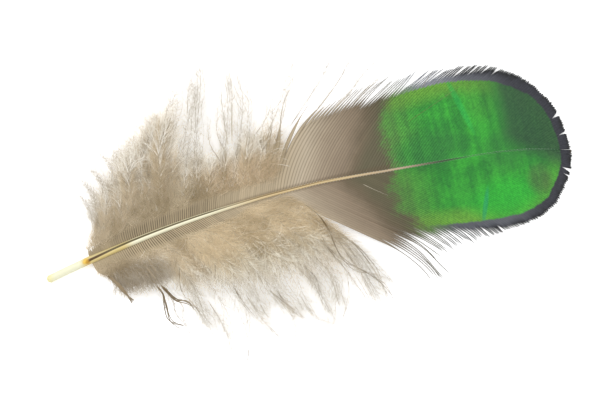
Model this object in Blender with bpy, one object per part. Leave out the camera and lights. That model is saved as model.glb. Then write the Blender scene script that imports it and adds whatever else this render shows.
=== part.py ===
"""A loose contour feather lying on its hollow side: the quill, the shaft and the locks of both vanes
grow together as one closed body."""

import math

import bmesh
import bpy

# Lengths are in millimetres until the mesh is written, which is in metres.
MM = 0.001
# Where the end of the quill stands in the part's frame
QUILL_END = (-37.54, -4.04)

# Shaft
LENGTH = 75.0
BOW = 4.1
SWAY = 0.1
ARCH = 2.2
FIRST_BARB = 6.6
LAST_BARB = 73.6
QUILL_RINGS = [0.0, 0.3, 2.2, 4.4, 5.9]
# distance along the shaft, radius
RADIUS = [
    (0.0, 0.42), (0.3, 0.55), (6.0, 0.56), (9.0, 0.50), (14.0, 0.44), (20.0, 0.37),
    (30.0, 0.27), (40.0, 0.20), (57.0, 0.14), (74.0, 0.10),
]
CROWN = 0.10

# Locks on each side, and the steps along one lock
LOCKS = 39
STEPS = 8
DOWN_STEPS = [0.0, 0.14, 0.27, 0.40, 0.53, 0.66, 0.78, 0.90, 1.0]
VANE_STEPS = [0.0, 0.17, 0.34, 0.51, 0.67, 0.80, 0.90, 0.965, 1.0]
RIDGE = 0.10

# root along the shaft, angle at the root, half way and at the tip in degrees, reach
UPPER = [
    (6.6, 91, 93, 98, 5.4),
    (8.5, 90, 94, 99, 8.2),
    (10.5, 89, 91, 94, 10.5),
    (13.5, 86, 85, 78, 12.5),
    (16.5, 82, 79, 60, 15.0),
    (19.5, 78, 76, 52, 18.0),
    (23.0, 76, 76, 62, 19.5),
    (27.0, 74, 74, 74, 19.5),
    (31.0, 70, 67, 72, 16.5),
    (32.8, 70, 64, 72, 14.0),
    (34.3, 76, 50, 38, 13.0),
    (36.0, 67, 46, 35, 15.2),
    (37.5, 61, 44, 33, 16.5),
    (42.0, 58, 40, 34, 17.5),
    (48.0, 52, 38, 30, 19.0),
    (54.0, 46, 36, 30, 19.0),
    (60.0, 40, 34, 32, 17.0),
    (65.0, 34, 28, 26, 13.0),
    (69.0, 26, 16, 12, 9.0),
    (72.0, 10, 2, 0, 6.0),
    (73.6, -12, -14, -14, 3.0),
]
LOWER = [
    (6.6, -76, -52, -62, 7.8),
    (7.6, -76, -52, -60, 7.8),
    (9.2, -76, -60, -40, 6.4),
    (10.9, -72, -62, -58, 8.2),
    (12.6, -68, -74, -80, 12.9),
    (14.3, -70, -80, -42, 12.0),
    (16.0, -60, -66, -78, 11.0),
    (17.8, -54, -52, -82, 13.5),
    (19.5, -52, -42, -76, 15.0),
    (22.0, -52, -32, -68, 16.0),
    (26.0, -50, -30, -68, 17.0),
    (30.0, -46, -32, -72, 18.0),
    (33.0, -42, -37, -74, 19.0),
    (34.6, -42, -40, -52, 19.5),
    (40.0, -38, -40, -56, 20.5),
    (46.0, -36, -39, -55, 20.5),
    (52.0, -36, -40, -52, 19.0),
    (58.0, -36, -40, -48, 18.0),
    (64.0, -36, -40, -46, 15.0),
    (69.0, -34, -36, -38, 11.0),
    (72.0, -26, -26, -26, 7.0),
    (73.6, -12, -14, -14, 3.0),
]
# The outer edge of the vane about the tip, from the upper fringe round to the lower fringe
TIP_EDGE = [
    (36.0, 20.5), (43.0, 17.6), (50.0, 16.0), (55.0, 15.8), (60.0, 15.3), (63.0, 15.0),
    (65.0, 14.5), (67.0, 14.0), (68.5, 13.4), (70.0, 12.4), (71.0, 11.6), (72.4, 10.0),
    (73.7, 7.5), (74.5, 5.1), (75.0, 3.0), (75.2, 1.0), (75.1, -0.8), (74.6, -2.4),
    (73.9, -3.9), (72.9, -5.3), (71.5, -6.8), (69.8, -7.7), (68.4, -8.2), (66.5, -8.6),
    (65.0, -8.7), (62.0, -9.1), (58.0, -9.5), (56.0, -9.8), (54.0, -10.6), (52.0, -11.9),
    (48.0, -14.0), (40.0, -18.0), (36.0, 0.0),
]
FIRST_TRIMMED = 42.0

# root along the shaft, thickness, height that the down is puffed up by
THICKNESS = [(6.6, 0.70), (28.0, 0.70), (38.0, 0.45), (75.0, 0.40)]
PUFF = [(6.6, 0.3), (11.0, 2.0), (24.0, 2.6), (32.0, 1.2), (38.0, 0.0), (75.0, 0.0)]
DROOP = 1.6
# part of a barb at which it comes down to the surface
LANDING = 0.88


def row(table, x):
    """Returns the values of a table at x, taken in a straight line between its rows."""
    if x <= table[0][0]:
        return table[0][1:]
    for low, high in zip(table, table[1:]):
        if x <= high[0]:
            part = (x - low[0]) / (high[0] - low[0])
            return tuple(a + (b - a) * part for a, b in zip(low[1:], high[1:]))
    return table[-1][1:]


def shaft_point(x):
    """Returns the middle of the shaft at a distance x from the end of the quill."""
    part = x / LENGTH
    y = 4.0 * BOW * part * (1.0 - part) + SWAY * math.sin(2.0 * math.pi * part)
    z = 0.55 - 0.33 * part + ARCH * max(0.0, 4.0 * part * (1.0 - part)) ** 1.3
    return (x, y, z)


def shaft_side(x):
    """Returns the direction square to the shaft at x, in plan, towards the upper vane."""
    behind = shaft_point(x - 0.05)
    ahead = shaft_point(x + 0.05)
    angle = math.atan2(ahead[1] - behind[1], ahead[0] - behind[0])
    return (-math.sin(angle), math.cos(angle))


def inside_tip_edge(x, y):
    """Tells whether a point of the plan is inside the outer edge of the vane."""
    inside = False
    for (ax, ay), (bx, by) in zip(TIP_EDGE, TIP_EDGE[1:] + TIP_EDGE[:1]):
        if (ay > y) != (by > y) and x < ax + (y - ay) / (by - ay) * (bx - ax):
            inside = not inside
    return inside


def barb_line(side, root, stretch=1.0, count=96):
    """Returns the plan of the barb that grows at a root: its points and its length."""
    table = UPPER if side > 0 else LOWER
    first, middle, last, reach = row(table, root)
    reach *= stretch
    across = shaft_side(root)
    hold = 0.92 * row(RADIUS, root)[0]
    x, y, _ = shaft_point(root)
    x += side * across[0] * hold
    y += side * across[1] * hold
    points = [(x, y)]
    for k in range(count):
        part = (k + 0.5) / count
        angle = first * (1 - part) ** 2 + 2 * middle * part * (1 - part) + last * part ** 2
        x += reach / count * math.cos(math.radians(angle))
        y += reach / count * math.sin(math.radians(angle))
        if root > FIRST_TRIMMED and not inside_tip_edge(x, y):
            break
        points.append((x, y))
    return points, reach * (len(points) - 1) / count


def along(points, part):
    """Returns the point at a part of the way along evenly spaced points."""
    place = max(0.0, min(1.0, part)) * (len(points) - 1)
    k = min(int(place), len(points) - 2)
    rest = place - k
    (ax, ay), (bx, by) = points[k], points[k + 1]
    return (ax + (bx - ax) * rest, ay + (by - ay) * rest)


def vane_height(root, part):
    """Returns the height of the middle of the vane at a part of the way along a barb."""
    start = shaft_point(root)[2]
    end = 0.5 * row(THICKNESS, root)[0]
    fall = min(1.0, part / LANDING) ** DROOP
    return start * (1.0 - fall) + end * fall + row(PUFF, root)[0] * math.sin(math.pi * part) ** 1.2


# Roots of the edges between the locks
ROOTS = [FIRST_BARB + (LAST_BARB - FIRST_BARB) * k / LOCKS for k in range(LOCKS + 1)]


def steps_at(root):
    """Returns the steps along a barb: even ones in the down, and close ones at the edge of the vane."""
    part = max(0.0, min(1.0, (root - 33.0) / 8.0))
    return [a + (b - a) * part for a, b in zip(DOWN_STEPS, VANE_STEPS)]


# root along the shaft, step at which neighbouring locks part
UPPER_SPLITS = [
    (6.6, 3), (12.0, 4), (20.0, 4), (30.0, 3), (34.0, 4), (38.5, 5), (42.0, 5), (43.0, 6), (58.0, 6),
    (60.0, 7), (75.0, 7),
]
LOWER_SPLITS = [
    (6.6, 4), (9.0, 5), (12.0, 3), (15.0, 3), (19.0, 4), (24.0, 5), (33.0, 4), (35.0, 6),
    (62.0, 6), (64.0, 7), (75.0, 7),
]
# edges that part earlier, as in the gaps of the vane: side, root nearest to it, step
GAPS = [(1, 33.4, 3), (1, 47.0, 5), (1, 69.5, 6), (-1, 34.2, 3), (-1, 41.0, 4), (-1, 70.5, 6)]
# how far each lock of the down reaches, as a share of its table's reach, from the quill on
UPPER_STRETCHES = [
    1.0, 1.05, 0.95, 1.05, 1.1, 1.0, 1.04, 1.14, 1.05, 1.15, 0.92, 1.1, 1.15, 0.95, 1.04, 1.12,
]
LOWER_STRETCHES = [
    1.0, 1.0, 1.0, 1.0, 1.0, 1.45, 1.66, 1.2, 1.28, 1.0, 1.3, 0.95, 1.15, 1.0, 1.3, 1.1,
]
# lifts of the lock ends, taken in turn
LIFTS = [0.0, 1.5, 0.5, 2.0, 0.2, 1.1, 0.0]


def split_step(side, k):
    """Returns the step at which the edge k of the locks opens on one side."""
    if k == 0:
        return 0
    if k == LOCKS:
        return STEPS - 1
    step = int(round(row(UPPER_SPLITS if side > 0 else LOWER_SPLITS, ROOTS[k])[0]))
    for gap_side, gap_root, gap_step in GAPS:
        nearest = min(range(LOCKS + 1), key=lambda n: abs(ROOTS[n] - gap_root))
        if gap_side == side and nearest == k:
            step = gap_step
    return step


def looseness(root):
    """Returns 1 in the down and 0 in the closed vane."""
    return max(0.0, min(1.0, (37.0 - root) / 5.0))


class Body:
    """Corners and faces of the feather, in millimetres from the end of the quill."""

    def __init__(self):
        self.corners = []
        self.faces = []

    def corner(self, x, y, z):
        self.corners.append((x, y, z))
        return len(self.corners) - 1

    def face(self, side, *corners):
        """Adds a face, turned over where it belongs to the lower vane's side."""
        self.faces.append(corners if side > 0 else corners[::-1])


def ring(body, x):
    """Adds a ring of the shaft: side, crown and belly corners, the upper vane's side first."""
    middle = shaft_point(x)
    across = shaft_side(x)
    radius = row(RADIUS, x)[0]
    half = 0.4 * row(THICKNESS, x)[0] if x >= FIRST_BARB else 0.42 * radius
    crown = max(radius, half + CROWN)
    corners = {}
    for side in (1, -1):
        profile = [
            ("top", 0.92, half), ("crown", 0.45, crown), ("belly", 0.45, -crown), ("under", 0.92, -half),
        ]
        for name, out, up in profile:
            corners[side, name] = body.corner(
                middle[0] + side * across[0] * out * radius,
                middle[1] + side * across[1] * out * radius,
                max(0.0, middle[2] + up),
            )
    return corners


def skin_shaft(body, rings, ending):
    """Joins the rings of the shaft, and closes it at the quill and in the last barbs."""
    for k, (near, far) in enumerate(zip(rings, rings[1:])):
        for side in (1, -1):
            strips = [("top", "crown"), ("belly", "under")]
            if k < len(QUILL_RINGS):
                strips.append(("under", "top"))
            for a, b in strips:
                body.face(side, near[side, a], near[side, b], far[side, b], far[side, a])
        body.face(1, near[1, "crown"], near[-1, "crown"], far[-1, "crown"], far[1, "crown"])
        body.face(1, near[-1, "belly"], near[1, "belly"], far[1, "belly"], far[-1, "belly"])
    first = rings[0]
    body.face(
        1, first[1, "top"], first[1, "under"], first[1, "belly"], first[-1, "belly"],
        first[-1, "under"], first[-1, "top"], first[-1, "crown"], first[1, "crown"],
    )
    last = rings[-1]
    for side in (1, -1):
        body.face(side, last[side, "top"], last[side, "crown"], ending["top"])
        body.face(side, last[side, "belly"], last[side, "under"], ending["under"])
    body.face(1, last[1, "crown"], last[-1, "crown"], ending["top"])
    body.face(1, last[-1, "belly"], last[1, "belly"], ending["under"])


def thick_pair(body, x, y, z, thickness):
    """Adds the corners above and below a point of the vane, none lower than the surface it lies on."""
    return {
        "top": body.corner(x, y, max(z + 0.5 * thickness, thickness)),
        "under": body.corner(x, y, max(z - 0.5 * thickness, 0.0)),
    }


def shared_edge(body, side, k, start):
    """Adds the corners of an edge between two locks, from the shaft to where it opens."""
    root = ROOTS[k]
    points, _ = barb_line(side, root)
    steps = steps_at(root)
    thickness = row(THICKNESS, root)[0]
    corners = [start]
    for n in range(1, split_step(side, k) + 1):
        x, y = along(points, steps[n])
        corners.append(thick_pair(body, x, y, vane_height(root, steps[n]), thickness))
    return corners


def lock(body, side, k, left, right):
    """Adds one lock between two edges, given as their shared corners, and tapers it to its tip."""
    root = 0.5 * (ROOTS[k] + ROOTS[k + 1])
    steps = [0.5 * (a + b) for a, b in zip(steps_at(ROOTS[k]), steps_at(ROOTS[k + 1]))]
    loose = looseness(root)
    stretches = UPPER_STRETCHES if side > 0 else LOWER_STRETCHES
    stretch = stretches[k] if k < len(stretches) else 1.0
    lift = LIFTS[k % len(LIFTS)] * loose + 0.06 * (k % 2)
    points, length = barb_line(side, root)
    long_points, long_length = barb_line(side, root, stretch)
    thickness = row(THICKNESS, root)[0]
    opening = min(max(len(left), len(right)) - 1, STEPS - 1)
    parting = min(len(left), len(right)) - 1
    taper = 1.25 if loose > 0.5 else 2.6

    centres = []
    for n in range(STEPS + 1):
        if n <= opening:
            place = along(points, steps[n])
            part = steps[n]
        else:
            way = (n - opening) / (STEPS - opening)
            here = steps[opening] * length
            there = here + (long_length - here) * (steps[n] - steps[opening]) / (1.0 - steps[opening])
            blend = min(1.0, way * 1.5)
            a = along(points, there / length)
            b = along(long_points, there / long_length)
            place = (a[0] + (b[0] - a[0]) * blend, a[1] + (b[1] - a[1]) * blend)
            part = there / long_length * blend + there / length * (1.0 - blend)
        part = min(1.0, part)
        rise = lift * max(0.0, part - steps[parting]) ** 1.3
        centres.append((place[0], place[1], vane_height(root, part) + rise))

    def outline(edge, hand):
        """Completes one edge of the lock beyond the point where it opens."""
        corners = list(edge)
        opened = len(edge) - 1
        ax, ay, _ = centres[opened]
        bx, by, _ = centres[opened + 1]
        ex, ey, _ = body.corners[edge[-1]["top"]]
        width = abs((bx - ax) * (ey - ay) - (by - ay) * (ex - ax)) / math.hypot(bx - ax, by - ay)
        if opened == 0:
            width = 0.75
        width = min(0.97 * width, 1.05)
        for n in range(opened + 1, STEPS):
            x, y, z = centres[n]
            bx, by, _ = centres[n - 1]
            cx, cy, _ = centres[n + 1]
            long = math.hypot(cx - bx, cy - by)
            way = (steps[n] - steps[opened]) / (1.0 - steps[opened])
            out = width * (1.0 - way ** taper)
            corners.append(thick_pair(
                body, x + hand * (cy - by) / long * out, y - hand * (cx - bx) / long * out, z, thickness,
            ))
        return corners

    near = outline(left, -side)
    far = outline(right, side)
    ridge = [None]
    for n in range(1, STEPS):
        x, y, z = centres[n]
        lx, ly, lz = body.corners[near[n]["top"]]
        rx, ry, rz = body.corners[far[n]["top"]]
        ridge.append(body.corner(0.5 * (lx + rx), 0.5 * (ly + ry), max(lz, rz) + RIDGE * (1.0 + loose)))
    tip = thick_pair(body, *centres[STEPS], 0.7 * thickness)

    # the upper skin of the lock
    body.face(-side, near[0]["top"], far[0]["top"], ridge[1])
    body.face(-side, near[0]["top"], ridge[1], near[1]["top"])
    body.face(-side, far[0]["top"], far[1]["top"], ridge[1])
    for n in range(1, STEPS - 1):
        body.face(-side, near[n]["top"], ridge[n], ridge[n + 1], near[n + 1]["top"])
        body.face(-side, ridge[n], far[n]["top"], far[n + 1]["top"], ridge[n + 1])
    body.face(-side, near[STEPS - 1]["top"], ridge[STEPS - 1], tip["top"])
    body.face(-side, ridge[STEPS - 1], far[STEPS - 1]["top"], tip["top"])
    # the underside, and the walls of the part of the lock that is open at its edges
    for n in range(STEPS - 1):
        body.face(side, near[n]["under"], far[n]["under"], far[n + 1]["under"], near[n + 1]["under"])
    body.face(side, near[STEPS - 1]["under"], far[STEPS - 1]["under"], tip["under"])
    for edge, hand, opened in ((near, side, len(left) - 1), (far, -side, len(right) - 1)):
        for n in range(opened, STEPS):
            a = edge[n]
            b = edge[n + 1] if n + 1 < STEPS else tip
            body.face(hand, a["top"], a["under"], b["under"], b["top"])


def build():
    """Returns the corners and faces of the whole feather."""
    body = Body()
    rings = [ring(body, x) for x in QUILL_RINGS + ROOTS[:-1]]
    x, y, z = shaft_point(LAST_BARB)
    ending = thick_pair(body, x, y, z, 2.0 * CROWN)
    skin_shaft(body, rings, ending)
    edges = {}
    for k in range(LOCKS):
        at = rings[len(QUILL_RINGS) + k]
        for side in (1, -1):
            start = {"top": at[side, "top"], "under": at[side, "under"]}
            edges[side, k] = shared_edge(body, side, k, start)
    edges[1, LOCKS] = shared_edge(body, 1, LOCKS, ending)
    edges[-1, LOCKS] = edges[1, LOCKS]
    for side in (1, -1):
        for k in range(LOCKS):
            lock(body, side, k, edges[side, k], edges[side, k + 1])
    return body


def make_material(name, colour, roughness):
    material = bpy.data.materials.new(name)
    material.use_nodes = True
    shader = material.node_tree.nodes["Principled BSDF"]
    shader.inputs["Base Color"].default_value = (*colour, 1.0)
    shader.inputs["Roughness"].default_value = roughness
    return material


def main():
    for item in list(bpy.data.objects):
        bpy.data.objects.remove(item, do_unlink=True)
    body = build()
    mesh = bpy.data.meshes.new("feather")
    dx, dy = QUILL_END
    corners = [((x + dx) * MM, (y + dy) * MM, z * MM) for x, y, z in body.corners]
    mesh.from_pydata(corners, [], body.faces)
    work = bmesh.new()
    work.from_mesh(mesh)
    bmesh.ops.recalc_face_normals(work, faces=work.faces)
    bmesh.ops.triangulate(work, faces=work.faces)
    for face in work.faces:
        face.smooth = True
    for edge in work.edges:
        if len(edge.link_faces) == 2 and edge.calc_face_angle(0.0) > math.radians(35.0):
            edge.smooth = False
    work.to_mesh(mesh)
    work.free()
    mesh.materials.append(make_material("feather", (0.36, 0.28, 0.19), 0.7))
    bpy.context.scene.collection.objects.link(bpy.data.objects.new("feather", mesh))


main()
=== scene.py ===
import math

import bmesh
import bpy
import numpy as np
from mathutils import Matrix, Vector


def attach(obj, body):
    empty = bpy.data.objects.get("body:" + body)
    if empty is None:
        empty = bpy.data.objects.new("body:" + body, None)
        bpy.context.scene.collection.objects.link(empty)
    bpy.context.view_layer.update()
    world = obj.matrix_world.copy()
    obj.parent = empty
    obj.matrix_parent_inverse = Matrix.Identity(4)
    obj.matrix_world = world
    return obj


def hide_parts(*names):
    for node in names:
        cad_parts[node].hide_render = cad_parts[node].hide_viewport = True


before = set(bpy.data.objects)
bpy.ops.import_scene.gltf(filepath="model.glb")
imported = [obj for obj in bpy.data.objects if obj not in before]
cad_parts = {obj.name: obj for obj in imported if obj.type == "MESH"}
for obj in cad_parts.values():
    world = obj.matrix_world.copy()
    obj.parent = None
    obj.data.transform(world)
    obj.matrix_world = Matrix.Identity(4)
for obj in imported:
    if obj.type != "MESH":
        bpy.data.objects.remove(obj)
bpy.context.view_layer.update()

# Plans and lengths are in millimetres from the end of the quill, and the meshes are in metres.
MM = 0.001
QUILL_END = np.array([-37.54, -4.04, 0.0])
# no hair lies lower than the first, and no curl or single strand higher than the second
LOWEST = 0.03
HIGHEST = 4.9
# points on a barb, on the plan that it is cut from, on a loose barb's plan and on a plume's way
STEPS = 44
PLAN_POINTS = 240
LOOSE_POINTS = 150
STATIONS = 6
# how much the barbs of a plume keep together, and the share of them that grow on to its end
UPPER_CLUMPING = 0.35
LOWER_CLUMPING = 0.05
UPPER_LONG_SHARE = 0.55
LOWER_LONG_SHARE = 0.75
# slivers to a millimetre of barb where the down is thickest
DOWN_PER_MM = 105.0
# how far the ends of the loose barbs stray, and how far the thick part of the down takes to thin out
UPPER_SPREAD = 0.55
LOWER_SPREAD = 1.5
UPPER_FADE = [(6.6, 0.7), (10.0, 1.3), (15.0, 2.4), (75.0, 2.4)]
LOWER_FADE = [(6.6, 0.3), (13.6, 0.35), (14.4, 2.2), (20.0, 2.8), (75.0, 2.8)]
# last root of the short lobe by the quill, and last root that carries curls
LAST_SHORT = 13.6
LAST_CURLED = 31.5
# how far apart the barbs are drawn, where they are loose and where the vane is closed
BARB_GAP = 0.3
CLOSED_GAP = 0.42
# rim mark of what is nowhere near the rim
NO_RIM = 3.0

# The feather's plan, as the solid has it: the shaft's bow to the side, its arch and the barbs' fall
LENGTH = 75.0
BOW = 4.1
SWAY = 0.1
ARCH = 2.2
FIRST_BARB = 6.6
LAST_BARB = 73.6
DROOP = 1.6
LANDING = 0.88
FIRST_TRIMMED = 37.0
RADIUS = [
    (0, 0.42), (0.3, 0.55), (6, 0.56), (9, 0.5), (14, 0.44), (20, 0.37),
    (30, 0.27), (40, 0.2), (46, 0.165), (52, 0.14), (57, 0.1), (61, 0.05), (74, 0.05),
]
# Place along the feather, and how far the shaft there lies from the solid's plain curve
SHAFT_SHIFT = [
    (0, 0), (6, -0.05), (9, -0.1), (12, -0.13), (20, -0.11), (28, -0.12), (32, -0.08),
    (36, -0.08), (40, -0.03), (44, -0.14), (49, -0.22),
    (54, -0.15), (58, 0), (61, 0.18), (65, 0.4), (69, 0.45), (72, 0.25), (75, 0),
]
# Root along the shaft, angle at the root, half way and at the tip in degrees, and reach
UPPER = [
    (6.6, 91, 93, 98, 5.4), (8.5, 90, 94, 99, 8.2), (10.5, 89, 91, 94, 10.5),
    (13.5, 86, 85, 78, 12.5), (16.5, 82, 79, 60, 15), (19.5, 78, 76, 52, 18),
    (23, 76, 76, 62, 19.5), (27, 74, 74, 74, 19.5), (31, 70, 67, 72, 16.5),
    (32.8, 70, 64, 72, 14), (34.3, 73, 45, 31, 13.4), (36, 64, 43, 28, 15.8),
    (37.5, 59, 42, 27, 17.5), (42, 55, 37, 24, 19.5), (48, 49, 34, 23, 21),
    (54, 44, 32, 25, 20), (60, 39, 32, 28, 17), (65, 34, 28, 26, 13),
    (69, 26, 16, 12, 9), (72, 10, 2, 0, 6), (73.6, -12, -14, -14, 3),
]
LOWER = [
    (6.6, -76, -52, -62, 7.8), (7.6, -76, -52, -60, 7.8), (9.2, -76, -60, -40, 6.4),
    (10.9, -72, -62, -58, 8.2), (12.6, -68, -74, -80, 12.9), (14.3, -70, -80, -42, 12),
    (16, -60, -66, -78, 11), (17.8, -54, -52, -82, 13.5), (19.5, -52, -42, -76, 15),
    (22, -52, -32, -68, 16), (26, -50, -30, -68, 17), (30, -46, -32, -72, 18),
    (33, -42, -34, -60, 19), (34.6, -42, -33, -40, 22), (40, -38, -36, -44, 22.5),
    (46, -36, -37, -46, 20.5), (52, -36, -39, -48, 19), (58, -36, -40, -48, 18),
    (64, -36, -40, -46, 15), (69, -34, -36, -38, 11), (72, -26, -26, -26, 7),
    (73.6, -12, -14, -14, 3),
]
# Outer edge of the closed vane, closed behind by its first and last rows
TIP_EDGE = np.array([
    (36, 20.5), (43, 17.6), (50, 16.3), (55, 16.2), (60, 15.8), (63, 15.3),
    (65, 14.8), (67, 14.2), (68.5, 13.5), (70, 12.4), (71, 11.6), (72.4, 10),
    (74, 7.5), (74.8, 5.1), (75.1, 3), (75.2, 1), (75.1, -0.8), (74.6, -2.4),
    (73.8, -3.9), (72.7, -5.3), (71.5, -6.8), (69.8, -7.7), (68.4, -8.2), (66.5, -8.6),
    (65, -8.7), (62, -9.1), (58, -9.5), (56, -9.8), (54, -10.6), (52, -11.9),
    (48, -14), (40, -18), (36, 0),
])
THICKNESS = [(6.6, 0.7), (28, 0.7), (38, 0.45), (75, 0.4)]
PUFF = [(6.6, 0.2), (11, 1.2), (24, 1.5), (32, 0.8), (38, 0), (75, 0)]
# Plumes of down: last root that belongs to the plume, length of its closed foot, length of its
# thick part, how thick it is, and the places that its barbs pass on the way to its tip
UPPER_PLUMES = [
    (7.4, 0.2, 1.6, 0.5, [(7.5, 4), (7.9, 6.2), (7.4, 8.8)]),
    (8.6, 0.4, 3.4, 0.6, [(8.8, 5.2), (9.2, 8), (8.6, 11.4)]),
    (9.8, 0.8, 6.2, 0.75, [(10, 6.4), (10.6, 9.6), (9.9, 13.2)]),
    (11.2, 1.6, 7.8, 0.85, [(11.5, 7.4), (12.1, 10.8), (11.6, 14.6)]),
    (12.6, 2.6, 8.4, 0.95, [(12.6, 8.4), (13.3, 12), (13.2, 16.2)]),
    (14, 3.2, 10.4, 1, [(14.2, 9.4), (14.9, 13.2), (15.6, 17.2)]),
    (15.6, 3.4, 12.8, 1, [(15.9, 10.2), (16.8, 14.2), (18, 18)]),
    (17.2, 3.4, 14.6, 1, [(17.6, 11), (18.9, 15.2), (21, 19.8)]),
    (18.4, 3.4, 14.8, 1, [(19.2, 12), (20.9, 16.6), (24.9, 23.8)]),
    (19.4, 3.4, 11.4, 0.85, [(20.6, 12.2), (22.4, 16.8), (26, 24.2)]),
    (21.2, 3.4, 6.2, 0.75, [(22.3, 11), (24.6, 17), (27.5, 24.2)]),
    (23, 3.6, 5.8, 0.65, [(24, 10), (25.4, 15), (27.3, 25.4)]),
    (25, 4, 5.8, 0.75, [(25.9, 10), (27.6, 14.4), (28.8, 20.4)]),
    (26.8, 4.6, 5.2, 0.7, [(28, 10.4), (29.9, 15.6), (31.4, 23.4)]),
    (28.4, 5.2, 5, 0.6, [(30.1, 11), (31.4, 16.4), (30.5, 22.6)]),
    (30.2, 5.6, 6.8, 0.75, [(32, 11.6), (33.4, 16.2), (33.8, 21.6)]),
    (32, 6, 7.6, 0.7, [(34, 11.8), (35.8, 15.2), (38.2, 20.2)]),
    (33.6, 6.4, 7.4, 0.6, [(34.9, 8.8), (36.6, 12.2), (39.6, 17.6)]),
]
LOWER_PLUMES = [
    (7.5, 1.6, 2.4, 0.9, [(8.1, -1.2), (9.2, -2.5), (10.8, -3.5)]),
    (9, 3.2, 3.4, 0.9, [(9.4, -1.2), (10.9, -2.8), (13.2, -4.1)]),
    (11, 4, 4.2, 0.9, [(11.2, -1.2), (12.9, -3.2), (14.9, -4.7)]),
    (12.4, 4.2, 4.4, 0.8, [(13.4, -1.6), (14.8, -4), (15.6, -6.2), (15.3, -8.2), (16.7, -10.8)]),
    (13.6, 3.8, 4.4, 0.8, [(14.4, -1.6), (15.7, -4.4), (16.9, -6.6), (18.2, -7.3), (19.2, -8.7)]),
    (15.2, 2.4, 5.2, 0.85, [(16.4, -1.4), (18.1, -4.6), (18.3, -6.8), (19.6, -9.6), (20.1, -11.6)]),
    (16.8, 2.4, 6.2, 0.85, [(18, -1.2), (19.6, -5), (20.6, -9.4), (21.3, -15.2)]),
    (18.6, 2.4, 7, 0.85, [(20, -1), (22.6, -4.8), (24.9, -10.4), (24.9, -15.8), (23.6, -18.8)]),
    (20.4, 2.6, 7.8, 0.85, [(22, -0.8), (24.8, -4.6), (26.4, -9.2), (28.3, -14.8)]),
    (22.4, 2.8, 8.8, 0.85, [(24.4, -0.6), (27.4, -4.8), (29.2, -9), (30.2, -13.4)]),
    (24.2, 3, 9.6, 0.85, [(26.4, -0.4), (29.8, -5.2), (31.2, -10.4), (33.4, -13.8)]),
    (26, 3.2, 10.4, 0.9, [(28.6, -0.2), (32.4, -5.4), (33.8, -12), (35.3, -17.2)]),
    (27.6, 3.2, 11, 0.9, [(30.4, 0), (34.4, -5), (36.7, -9.8), (37.6, -15)]),
    (29.2, 3.6, 11.4, 0.85, [(32.2, 0), (36, -4.2), (38.6, -8.8), (39.2, -12.6), (37.5, -17)]),
    (30.8, 5, 11.6, 0.75, [(33.8, 0.2), (37.6, -3.6), (40.6, -8.6), (42.4, -14.4)]),
    (32.4, 6.6, 11, 0.55, [(35.2, 0.6), (39, -3.4), (42.6, -8), (45.2, -15.8)]),
    (34.2, 9, 10.2, 0.3, [(36.9, 0.9), (40, -2.5), (43.2, -6.4), (46.8, -13.8)]),
]
# Place along the feather, width of the loose fringe, width of the dark rim with its fringe, and
# below zero where there is no rim
UPPER_FRINGE = [
    (34, 9, -2), (38, 7.8, -2), (42, 5.4, -2), (46, 4.5, -2), (50, 3.8, -2),
    (51.5, 3.6, 3.3), (53.5, 3.3, 3.1), (55, 2.8, 2.85), (57, 2.5, 2.6), (60, 2.2, 2.35),
    (64, 1.5, 2.25), (68, 0.7, 2.1), (70, 0.4, 1.9), (71.5, 0.3, 1.5), (73, 0.3, 1.55),
    (75, 0.3, 1.65),
]
LOWER_FRINGE = [
    (34, 13, -2), (40, 12, -2), (45, 9.6, -2), (47, 8.9, -2), (49.5, 7.7, -2),
    (51, 6.8, 6.2), (52.5, 5.8, 5.4), (54, 4.9, 4.7), (55.5, 4, 3.95), (56.5, 3.6, 3.7),
    (58, 3.05, 3.3), (60, 2.3, 2.8), (62, 1.5, 2.4), (64, 0.9, 1.95), (66, 0.5, 1.7),
    (70, 0.3, 1.6), (75, 0.3, 1.6),
]
# Places where the closed vane has parted: side, root, part of the barb where it starts, push
PARTINGS = [
    (1, 39.9, 0.65, 0.55), (1, 43.4, 0.74, 0.45), (1, 45.7, 0.8, 0.16), (1, 48.4, 0.84, 0.16),
    (1, 49.8, 0.86, 0.14), (1, 51.5, 0.88, 0.14), (1, 53.2, 0.89, 0.18), (1, 67, 0.82, 0.36),
    (1, 70.2, 0.7, 0.24),
    (-1, 36.9, 0.54, 0.48), (-1, 37.9, 0.69, 0.36), (-1, 39.8, 0.77, 0.16), (-1, 41, 0.8, 0.18),
    (-1, 42.8, 0.81, 0.18), (-1, 44.3, 0.84, 0.18), (-1, 47.3, 0.87, 0.22), (-1, 49.6, 0.9, 0.18),
    (-1, 68.1, 0.8, 0.3), (-1, 67, 0.86, 0.16),
]
# Root along the shaft, and how much further its barb bends at its tip in degrees, on the lower side
HOOK = [(33, 34), (38, 28), (44, 20), (52, 12), (60, 6), (66, 0)]
HOOK_START = 0.58
# added part of the reach for a degree of hook
HOOK_REACH = 1.0 / 240.0
# a barb starts at this part of the shaft's radius, and a loose one keeps to its first direction so far
ROOT_SINK = 0.92
FIRST_STRETCH = 1.4


def column(table, x, n):
    """Returns column n of a table at x, taken in straight lines between its rows."""
    return np.interp(x, [r[0] for r in table], [r[n] for r in table])


def soft_step(low, high, value):
    """Rises softly from 0 at low to 1 at high."""
    part = np.clip((value - low) / (high - low), 0.0, 1.0)
    return part * part * (3.0 - 2.0 * part)


def unit(vectors):
    return vectors / (np.linalg.norm(vectors, axis=-1, keepdims=True) + 1e-12)


def shaft_point(x):
    part = np.asarray(x, float) / LENGTH
    y = 4.0 * BOW * part * (1.0 - part) + SWAY * np.sin(2.0 * math.pi * part) + column(SHAFT_SHIFT, x, 1)
    z = 0.55 - 0.33 * part + ARCH * np.maximum(0.0, 4.0 * part * (1.0 - part)) ** 1.3
    return np.stack([x + 0.0 * part, y, z], axis=-1)


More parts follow.
